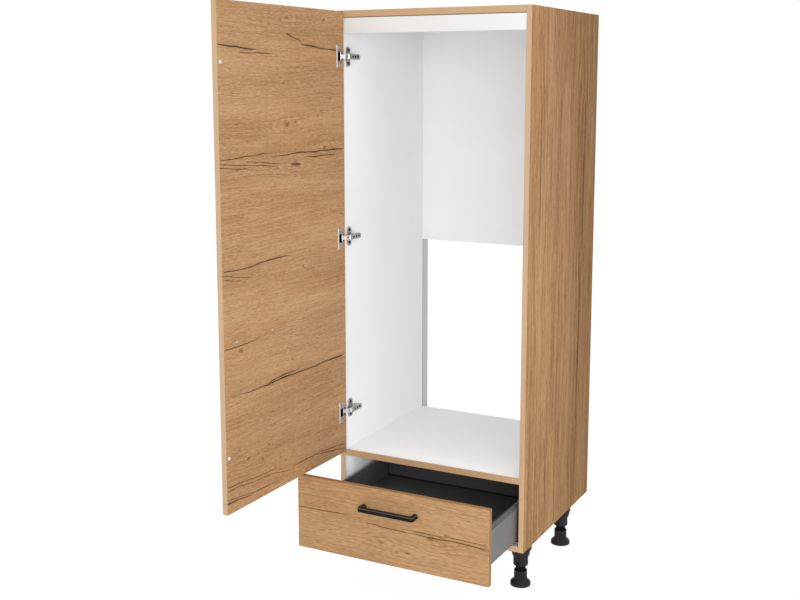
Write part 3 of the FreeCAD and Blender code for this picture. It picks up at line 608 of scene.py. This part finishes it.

# %% [markdown]
# ### The carcass boards
# The sides are oak outside and white inside, and the boards between them are white with an oak strip on the front
# edge. Each is one solid with one finish: the place on the board chooses between oak and white. Towards the rear the
# sides are painted darker, as painted shade, and the white inner face behind the back panel is painted grey, also
# painted shade. Bores and grooves show the dark core of the board, darkened further as painted shade.

# %% Finish the sides
white_dull, white_bright = (0.846, 0.851, 0.859), (0.866, 0.871, 0.879)
# Painted shade: this cast darkens the sides towards the rear.
painted_rear_shade_cast = (0.71, 0.69, 0.67)
# The board's core colour, darkened as painted shade in the grooves and bores.
core_and_painted_shade = (0.11, 0.10, 0.09)
# Painted shade: grey on the inner face behind the back panel.
behind_panel_painted_shade = (0.30, 0.30, 0.30)
groove_inset = 0.010
rear_shade_from, rear_shade_to = 0.0, 0.60
painted_light_from, painted_light_full = 0.50, 0.20


def white_board(f, shade=1.0):
    """White melamine: nearly plain, with a faint cloudiness."""
    cloud = f.noise(f.spread(f.place, 7, 7, 7), 3)
    dull = tuple(shade * part for part in white_dull)
    bright = tuple(shade * part for part in white_bright)
    return f.ramp(cloud, (0.3, dull), (0.7, bright))


side_cracks = (
    (1.400, 0.479, 0.900, 0.470, 0.0034),
    (0.900, 0.462, 0.440, 0.452, 0.0031),
    (0.420, 0.170, 0.200, 0.186, 0.0026),
    (1.390, 0.104, 0.980, 0.106, 0.0020),
)
side_knots = (
    (0.861, 0.096, 0.060, 0.022),
    (0.450, 0.235, 0.060, 0.020),
    (1.032, 0.395, 0.060, 0.020),
    (1.430, 0.430, 0.160, 0.045),
)
back_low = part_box("upper_back_panel")[0]
for name, outward in (("left_side_panel", -1), ("right_side_panel", 1)):
    side_oak = Finish(name.replace("panel", "oak"))
    low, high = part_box(name)
    sideways, inward, height = side_oak.split(side_oak.place)
    oak_tone, oak_relief = oak_colour(side_oak, height, inward, sideways, side_cracks, side_knots,
                                      side_grain, side_rings, side_painted_shade)
    from_inner = side_oak.math("SUBTRACT", sideways, low.x if outward > 0 else high.x)
    from_inner = side_oak.math("MULTIPLY", from_inner, outward)
    from_middle = side_oak.math("ABSOLUTE", side_oak.math("SUBTRACT", from_inner, board / 2))
    on_edge = between_faces(side_oak, from_middle)
    # Painted shade, darker towards the rear edge of each side.
    painted_rear_shade = side_oak.fade(inward, rear_shade_from, rear_shade_to)
    oak_tone = side_oak.mix(painted_rear_shade, oak_tone, painted_rear_shade_cast, "MULTIPLY")
    # Painted light: the sides' strips grow lighter towards the floor.
    strip_tone = side_oak.mix(side_oak.fade(height, painted_light_from, painted_light_full), pale_strip, low_painted_light_strip)
    oak_tone = banded(side_oak, oak_tone, on_edge, strip_tone)
    in_groove = side_oak.all_of(
        on_edge,
        side_oak.fade(inward, low.y + groove_inset, low.y + groove_inset + 0.001),
        side_oak.fade(inward, high.y - groove_inset, high.y - groove_inset - 0.001),
        side_oak.fade(height, high.z - 0.001, high.z - 0.002),
        side_oak.fade(height, low.z + 0.001, low.z + 0.002))
    # Grooves and bores: core colour with painted shade.
    oak_tone = side_oak.mix(in_groove, oak_tone, core_and_painted_shade)
    inside = side_oak.fade(from_inner, 0.0004, 0.0002)
    # Painted shade behind the back panel.
    behind_panel_shade = side_oak.fade(inward, back_low.y, back_low.y + 0.001)
    lining = side_oak.mix(side_oak.math("MULTIPLY", behind_panel_shade, 0.5), white_board(side_oak), behind_panel_painted_shade)
    side_oak.base(side_oak.mix(inside, oak_tone, lining))
    oak_sheen(side_oak, side_oak.math("MULTIPLY", oak_relief, side_oak.math("SUBTRACT", 1, inside)))
    dress(side_oak, name)

# %% [markdown]
# The top, the shelf and the bottom are white with an oak strip along the front edge, laid over a little grain so that
# it isn't flat.

# %% Finish the boards between the sides
front_strip_share = 0.72
for name, strip_colour in (("top_panel", honey_strip), ("fridge_shelf", shelf_strip), ("bottom_panel", low_painted_light_strip)):
    shelf_white = Finish(name.replace("panel", "white"))
    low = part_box(name)[0]
    sideways, inward, height = shelf_white.split(shelf_white.place)
    oak_tone, oak_relief = oak_colour(shelf_white, sideways, height, inward, (), (), drawer_grain, front_rings)
    strip = shelf_white.fade(inward, low.y + 0.0006, low.y + 0.0003)
    edge_oak = shelf_white.mix(front_strip_share, oak_tone, strip_colour)
    shelf_white.base(shelf_white.mix(strip, white_board(shelf_white), edge_oak))
    oak_sheen(shelf_white, shelf_white.math("MULTIPLY", oak_relief, strip))
    dress(shelf_white, name)

# %% [markdown]
# The rail at the top of the niche and the panel behind it are plain white. A thin dark line along the top of the
# rail is painted shadow under the top board; the panel, a little greyer, has none.

# %% Finish the rail and the back panel
# Painted shadow along the top of the rail.
painted_joint_shadow = (0.16, 0.13, 0.10)
joint_low, joint_high = 0.0030, 0.0015
for name, shade in (("upper_front_rail", 1.0), ("upper_back_panel", 0.95)):
    plain_white = Finish(name + "_white")
    plain_white.base(white_board(plain_white, shade))
    if name == "upper_front_rail":
        height = plain_white.split(plain_white.place)[2]
        # Painted shadow under the top board.
        joint_shadow_line = plain_white.fade(height, rail_high.z - joint_low, rail_high.z - joint_high)
        plain_white.base(plain_white.mix(joint_shadow_line, plain_white.colour, painted_joint_shadow))
    plain_white.set(Roughness=0.5, Specular_IOR_Level=0.35)
    plain_white.bump(plain_white.noise(plain_white.spread(plain_white.place, 900, 900, 900), 2), 0.0001)
    dress(plain_white, name)

# %% [markdown]
# ## Metal
# The hinges are pressed steel with a satin nickel plate, the runners are galvanised and the screws are zinc plated.
# All are metallic with different colours and roughness; a fine scratchy noise keeps them from looking cast. One
# helper makes them, starting here with the runners, cams and brackets.


# %% Finish the runners and cams
def plated(name, dull, bright, roughness, scratch):
    """A plated steel, cloudy and finely scratched."""
    metal = Finish(name)
    cloud = metal.noise(metal.spread(metal.place, 140, 140, 140), 3)
    lines = metal.noise(metal.spread(metal.place, scratch, scratch, 3 * scratch), 2)
    metal.base(metal.ramp(cloud, (0.3, dull), (0.7, bright)))
    metal.set(Metallic=1.0, Roughness=metal.math("MULTIPLY_ADD", lines, 0.25, roughness))
    metal.bump(lines, 0.00005)
    return metal


galvanised = plated("galvanised", (0.40, 0.41, 0.42), (0.55, 0.56, 0.57), 0.3, 500)
dress(galvanised, "runner_cabinet", "runner_middle", "runner_drawer")
zinc = plated("zinc", (0.50, 0.50, 0.48), (0.66, 0.66, 0.64), 0.26, 900)
dress(zinc, "cam_", "drawer_front_brackets")
dark_steel = plated("dark_steel", (0.055, 0.055, 0.053), (0.100, 0.100, 0.097), 0.3, 900)

# %% [markdown]
# The hinge's arm, plate, link and cup differ in brightness. The plate is painted dark where it lies under the round
# window of the arm, as painted shade; the cup is painted black inside, where the link goes in, as painted shade; and
# its lip towards the room is painted as a bright rim, a painted highlight.

# %% Finish the hinges
window_from_rear = 0.0265
window_radius = 0.0037
# Painted shade on the plate under the arm's window.
painted_window_shade = (0.012, 0.012, 0.012)
nickel = plated("nickel", (0.32, 0.315, 0.30), (0.50, 0.49, 0.465), 0.24, 900)
dress(nickel, "hinge_arm")

windows = []
for end in ("top", "middle", "bottom"):
    low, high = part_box(f"hinge_arm_{end}")
    windows.append((0, high.y - window_from_rear, (low.z + high.z) / 2))
plate_nickel = plated("plate_nickel", (0.36, 0.355, 0.34), (0.54, 0.53, 0.505), 0.24, 900)
_, inward, height = plate_nickel.split(plate_nickel.place)
from_window = plate_nickel.nearest(plate_nickel.join(0.0, inward, height), windows)
# Painted shade where the plate lies under the window.
window_shade = plate_nickel.fade(from_window, window_radius + 0.0002, window_radius)
plate_nickel.base(plate_nickel.mix(window_shade, plate_nickel.colour, painted_window_shade))
dress(plate_nickel, "hinge_plate_top", "hinge_plate_middle", "hinge_plate_bottom")

link_nickel = plated("link_nickel", (0.74, 0.73, 0.70), (0.92, 0.91, 0.87), 0.16, 900)
dress(link_nickel, "hinge_link", "hinge_arm_pins", "hinge_cup_pins")

lip_from_hinge = 0.0393
# Painted highlight on the cup's lip.
painted_lip_highlight = (0.86, 0.85, 0.82)
# Painted shade inside the cup.
painted_cup_shade = (0.010, 0.010, 0.010)
cup_nickel = plated("cup_nickel", (0.29, 0.285, 0.27), (0.46, 0.45, 0.425), 0.26, 900)
from_hinge, inward, _ = door_place(cup_nickel)
# Painted highlight on the lip.
lip_highlight = cup_nickel.fade(from_hinge, lip_from_hinge - 0.0003, lip_from_hinge)
# Painted shade inside the cup.
cup_shade = cup_nickel.fade(inward, 0.0001, -0.0008)
with_lip_highlight = cup_nickel.mix(lip_highlight, cup_nickel.colour, painted_lip_highlight)
cup_nickel.base(cup_nickel.mix(cup_shade, with_lip_highlight, painted_cup_shade))
# The painted highlight on the lip is less metallic, so the lamps light it white.
cup_nickel.set(Metallic=cup_nickel.math("SUBTRACT", 1.0, cup_nickel.math("MULTIPLY", lip_highlight, 0.85)))
dress(cup_nickel, "hinge_cup_top", "hinge_cup_middle", "hinge_cup_bottom")

# %% [markdown]
# ## Screws
# The solids carry each screw as a plain domed pin. Here every screw gets a cross recess in its head. Its size and
# place are measured from its own solid: the head is the thick end. Measuring keeps each screw in its hole, whatever
# its length and direction.


# %% Measure the screws
def loose_parts(name):
    """The corners of each separate solid in a node."""
    shape = bmesh.new()
    shape.from_mesh(nodes[name].data)
    bmesh.ops.remove_doubles(shape, verts=shape.verts, dist=1e-6)
    left = set(shape.verts)
    parts = []
    while left:
        found, waiting = [], [left.pop()]
        while waiting:
            corner = waiting.pop()
            found.append(corner.co.copy())
            near = {edge.other_vert(corner) for edge in corner.link_edges} & left
            left -= near
            waiting.extend(near)
        parts.append(found)
    shape.free()
    return parts


def upright(corners, axis):
    """Turns a screw upright: its corners, and the turn that was used."""
    turn = axis.rotation_difference(Vector((0, 0, 1))).to_matrix().to_4x4()
    return [turn @ corner for corner in corners], turn


def screw_sizes(corners):
    """An upright screw's middle, seat, top and lowest height, and the radius of its head and its shank."""
    low = Vector([min(corner[i] for corner in corners) for i in range(3)])
    high = Vector([max(corner[i] for corner in corners) for i in range(3)])
    middle = (low + high) / 2
    head = (high.x - low.x) / 2
    out = [(math.hypot(corner.x - middle.x, corner.y - middle.y), corner.z) for corner in corners]
    seat = min(z for r, z in out if r > 0.9 * head)
    shank = max(r for r, z in out if z < low.z + 0.0005)
    return middle, seat, high.z, low.z, head, shank


print("hinge plate screws:", len(loose_parts("hinge_plate_screws")))

# %% [markdown]
# A disc is pulled up into a head and its rim rounded. The corners of a ring on top are moved onto the outline of a
# cross, which is then pushed down. A boolean cut would do too, but it leaves ragged faces on so small a form.

# %% Shape one screw
head_sides, stem_sides = 24, 12
rim_share = 0.6
ring_share = 0.1
cross_reach, cross_half, cross_depth = 0.8, 0.2, 0.6
tip_share = 0.6


def cross_outline(step, reach, half):
    """One of 24 points round a cross with arms of this reach and half width."""
    mid = (reach + half) / 2
    arm = ((reach, 0), (reach, half), (mid, half), (half, half), (half, mid), (half, reach))
    return Matrix.Rotation(step // 6 * math.pi / 2, 3, "Z") @ Vector((*arm[step % 6], 0))


def cross_screw(corners, axis):
    """One screw with a cross recess, in place of the solid with these corners."""
    raised, turn = upright(corners, axis)
    middle, seat, top, low, head, shank = screw_sizes(raised)
    if top - seat > (top - low) / 2:
        raised, turn = upright(corners, -axis)
        middle, seat, top, low, head, shank = screw_sizes(raised)
    tall = top - seat
    one = bmesh.new()
    bmesh.ops.create_cone(one, cap_ends=True, segments=head_sides, radius1=head, radius2=head, depth=tall)
    rim = [e for e in one.edges if all(v.co.z > 0 for v in e.verts)]
    bmesh.ops.bevel(one, geom=rim, offset=tall * rim_share, segments=3, profile=0.5, affect="EDGES", material=-1)
    crown = max(one.faces, key=lambda face: face.calc_center_median().z)
    flat = head - tall * rim_share
    bmesh.ops.inset_region(one, faces=[crown], thickness=flat * ring_share, depth=0)
    for corner in crown.verts:
        step = round(math.atan2(corner.co.y, corner.co.x) / (2 * math.pi) * head_sides) % head_sides
        spot = cross_outline(step, flat * cross_reach, flat * cross_half)
        corner.co.x, corner.co.y = spot.x, spot.y
    sunk = bmesh.ops.extrude_face_region(one, geom=[crown])["geom"]
    bmesh.ops.delete(one, geom=[crown], context="FACES_KEEP_BOUNDARY")
    deep = [v for v in sunk if isinstance(v, bmesh.types.BMVert)]
    bmesh.ops.translate(one, vec=(0, 0, -tall * cross_depth), verts=deep)
    bmesh.ops.translate(one, vec=(middle.x, middle.y, seat + tall / 2), verts=one.verts)
    stem = bmesh.ops.create_cone(one, cap_ends=True, segments=stem_sides, radius1=shank * tip_share, radius2=shank,
                                 depth=seat - low)
    bmesh.ops.translate(one, vec=(middle.x, middle.y, (seat + low) / 2), verts=stem["verts"])
    bmesh.ops.transform(one, matrix=turn.inverted(), verts=one.verts)
    bmesh.ops.recalc_face_normals(one, faces=one.faces)
    return one


print("heads have", head_sides, "sides, stems", stem_sides)

# %% [markdown]
# All the screws of a node become one piece, which stands for that node and rides on its body. The hinge plates'
# screws are dark steel, the others bright zinc.


# %% Replace the screws
def crossed_screws(node, axis, metal=zinc):
    """Replaces all the screws of a node."""
    mesh = bpy.data.meshes.new(node + "_crossed")
    all_screws = bmesh.new()
    for corners in loose_parts(node):
        one = cross_screw(corners, axis)
        one.to_mesh(mesh)
        one.free()
        all_screws.from_mesh(mesh)
    all_screws.to_mesh(mesh)
    all_screws.free()
    mesh.materials.append(metal.material)
    piece = bpy.data.objects.new(node + "_crossed", mesh)
    scene.collection.objects.link(piece)
    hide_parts(node)
    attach(piece, next(body for body, names in frame["record"]["behaviour"]["bodies"].items() if node in names))
    print(piece.name, len(mesh.polygons), "faces")


crossed_screws("hinge_plate_screws", Vector((1, 0, 0)), dark_steel)
crossed_screws("hinge_cup_screws", door_inward)
crossed_screws("door_handle_screws", door_inward)
crossed_screws("drawer_handle_screws", Vector((0, 1, 0)))
crossed_screws("drawer_bracket_screws", Vector((0, 1, 0)))
crossed_screws("runner_screws", Vector((1, 0, 0)))
crossed_screws("foot_plate_screws", Vector((0, 0, 1)))

# %% [markdown]
# ## The drawer box
# The steel sides are powder coated mid grey. Their inner faces are painted darker, as painted shade, and the
# distance from the drawer's middle chooses between the two.

# %% Finish the drawer's sides
base_low, base_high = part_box("drawer_base")
drawer_middle = (base_low.x + base_high.x) / 2
inner_face = base_high.x - drawer_middle
painted_shade_up_to, grey_from = inner_face + 0.0040, inner_face + 0.0060
coat = Finish("drawer_coat")
sideways = coat.split(coat.place)[0]
out = coat.math("ABSOLUTE", coat.math("SUBTRACT", sideways, drawer_middle))
grain = coat.noise(coat.spread(coat.place, 2200, 2200, 2200), 2)
cloud = coat.noise(coat.spread(coat.place, 12, 12, 12), 2)
grey = coat.ramp(cloud, (0.3, (0.147, 0.149, 0.152)), (0.7, (0.169, 0.171, 0.174)))
# Painted shade: the darker copy of the grey, on the inner faces.
dark = coat.ramp(cloud, (0.3, (0.072, 0.073, 0.075)), (0.7, (0.086, 0.087, 0.089)))
coat.base(coat.mix(coat.fade(out, painted_shade_up_to, grey_from), dark, grey))
coat.set(Roughness=0.45, Specular_IOR_Level=0.3)
coat.bump(grain, 0.00012)
dress(coat, "drawer_side")

# %% [markdown]
# The base and back are dark melamine with a faint fleck. Where they meet each other and the sides, a thin black line
# is painted shade in the crease, which is too narrow for the light to darken by itself.

# %% Finish the drawer's base and back
# Painted shade in the creases of the drawer.
painted_crease_shade = (0.008, 0.008, 0.008)
side_crease_from, side_crease_full = inner_face - 0.0035, inner_face - 0.0015
back_crease_from, back_crease_full = 0.0050, 0.0025
dark_board = Finish("dark_board")
fleck = dark_board.noise(dark_board.spread(dark_board.place, 400, 400, 400), 3)
board_grey = dark_board.ramp(fleck, (0.3, (0.052, 0.052, 0.053)), (0.7, (0.074, 0.074, 0.075)))
sideways, inward, height = dark_board.split(dark_board.place)
out = dark_board.math("ABSOLUTE", dark_board.math("SUBTRACT", sideways, drawer_middle))
# Painted shade along the creases.
crease_shade = dark_board.fade(out, side_crease_from, side_crease_full)
back_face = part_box("drawer_back")[0].y
near_back = dark_board.math("ABSOLUTE", dark_board.math("SUBTRACT", inward, back_face))
near_floor = dark_board.math("ABSOLUTE", dark_board.math("SUBTRACT", height, base_high.z))
corner = dark_board.math("ADD", near_back, near_floor)
crease_shade = dark_board.math("MAXIMUM", crease_shade, dark_board.fade(corner, back_crease_from, back_crease_full))
dark_board.base(dark_board.mix(crease_shade, board_grey, painted_crease_shade))
dark_board.set(Roughness=0.5, Specular_IOR_Level=0.3)
dark_board.bump(fleck, 0.0002)
dress(dark_board, "drawer_base", "drawer_back")

# %% [markdown]
# ## Black plastic, black metal and the small pieces
# The feet are moulded in black plastic with a fine texture, the handles are black coated metal, the door stops are
# pale soft plastic and the dowels are beech. One helper makes them all.


# %% Finish the stops and dowels
def textured(name, dull, bright, roughness, gloss, grain_scale, grain_depth):
    """A moulded or coated surface, cloudy and with a fine tooth."""
    skin = Finish(name)
    cloud = skin.noise(skin.spread(skin.place, 60, 60, 60), 3)
    grain = skin.noise(skin.spread(skin.place, grain_scale, grain_scale, grain_scale), 2)
    skin.base(skin.ramp(cloud, (0.3, dull), (0.7, bright)))
    skin.set(Roughness=roughness, Specular_IOR_Level=gloss)
    skin.bump(grain, grain_depth)
    return skin


stop_plastic = textured("stop_plastic", (0.78, 0.78, 0.76), (0.84, 0.84, 0.82), 0.5, 0.5, 1200, 0.0001)
dress(stop_plastic, "door_bumpers")
dowel_beech = textured("dowel_beech", (0.60, 0.43, 0.26), (0.72, 0.55, 0.36), 0.7, 0.3, 700, 0.0003)
dress(dowel_beech, "wood_dowels")

# %% [markdown]
# The barrel and the sleeve of a foot have grooves and round recesses, painted near black as painted shade. The
# distance from the foot's axis tells what lies below the outer skin.

# %% Finish the feet
barrel_radius, barrel_low = 0.0190, 0.0195
sleeve_radius, sleeve_low, sleeve_high = 0.0215, 0.0565, 0.0905
sunk_from, sunk_to = 0.0005, 0.0012
# Painted shade in the feet's grooves and recesses.
painted_recess_shade = (0.002, 0.002, 0.002)
step_height = 0.0005
foot_axes = []
for end in ("front_left", "front_right", "rear_left", "rear_right"):
    low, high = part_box(f"foot_adjuster_{end}")
    foot_axes.append(((low.x + high.x) / 2, (low.y + high.y) / 2, 0))
foot_plastic = textured("foot_plastic", (0.022, 0.022, 0.023), (0.032, 0.032, 0.033), 0.45, 0.08, 1500, 0.00015)
sideways, inward, height = foot_plastic.split(foot_plastic.place)
from_axis = foot_plastic.nearest(foot_plastic.join(sideways, inward, 0.0), foot_axes)
on_sleeve = foot_plastic.fade(height, sleeve_low, sleeve_low + step_height)
skin_radius = foot_plastic.math("MULTIPLY_ADD", on_sleeve, sleeve_radius - barrel_radius, barrel_radius)
# Painted shade in the grooves and recesses.
sunk = foot_plastic.all_of(
    foot_plastic.fade(foot_plastic.math("SUBTRACT", skin_radius, from_axis), sunk_from, sunk_to),
    foot_plastic.fade(height, barrel_low, barrel_low + step_height),
    foot_plastic.fade(height, sleeve_high, sleeve_high - step_height))
foot_plastic.base(foot_plastic.mix(sunk, foot_plastic.colour, painted_recess_shade))
dress(foot_plastic, "foot_plate_front", "foot_plate_rear", "foot_sleeve", "foot_adjuster")

# %% [markdown]
# The handles are black, with a paler line painted where the front turns into the top, a painted highlight. The line
# lies just below the top of each handle, so each handle has its own finish.

# %% Finish the handles
# Painted highlight along the handle's top edge.
painted_rim_highlight = (0.090, 0.090, 0.092)
rim_bottom, rim_full_low, rim_full_high, rim_top = 0.0034, 0.0022, 0.0008, 0.0002
for name in ("door_handle", "drawer_handle"):
    handle_black = textured(name + "_black", (0.005, 0.005, 0.006), (0.008, 0.008, 0.009), 0.3, 0.12, 3000, 0.00006)
    handle_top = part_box(name)[1].z
    height = handle_black.split(handle_black.place)[2]
    # Painted highlight just below the top of the handle.
    rim = handle_black.all_of(handle_black.fade(height, handle_top - rim_bottom, handle_top - rim_full_low),
                              handle_black.fade(height, handle_top - rim_top, handle_top - rim_full_high))
    handle_black.base(handle_black.mix(rim, handle_black.colour, painted_rim_highlight))
    dress(handle_black, name)
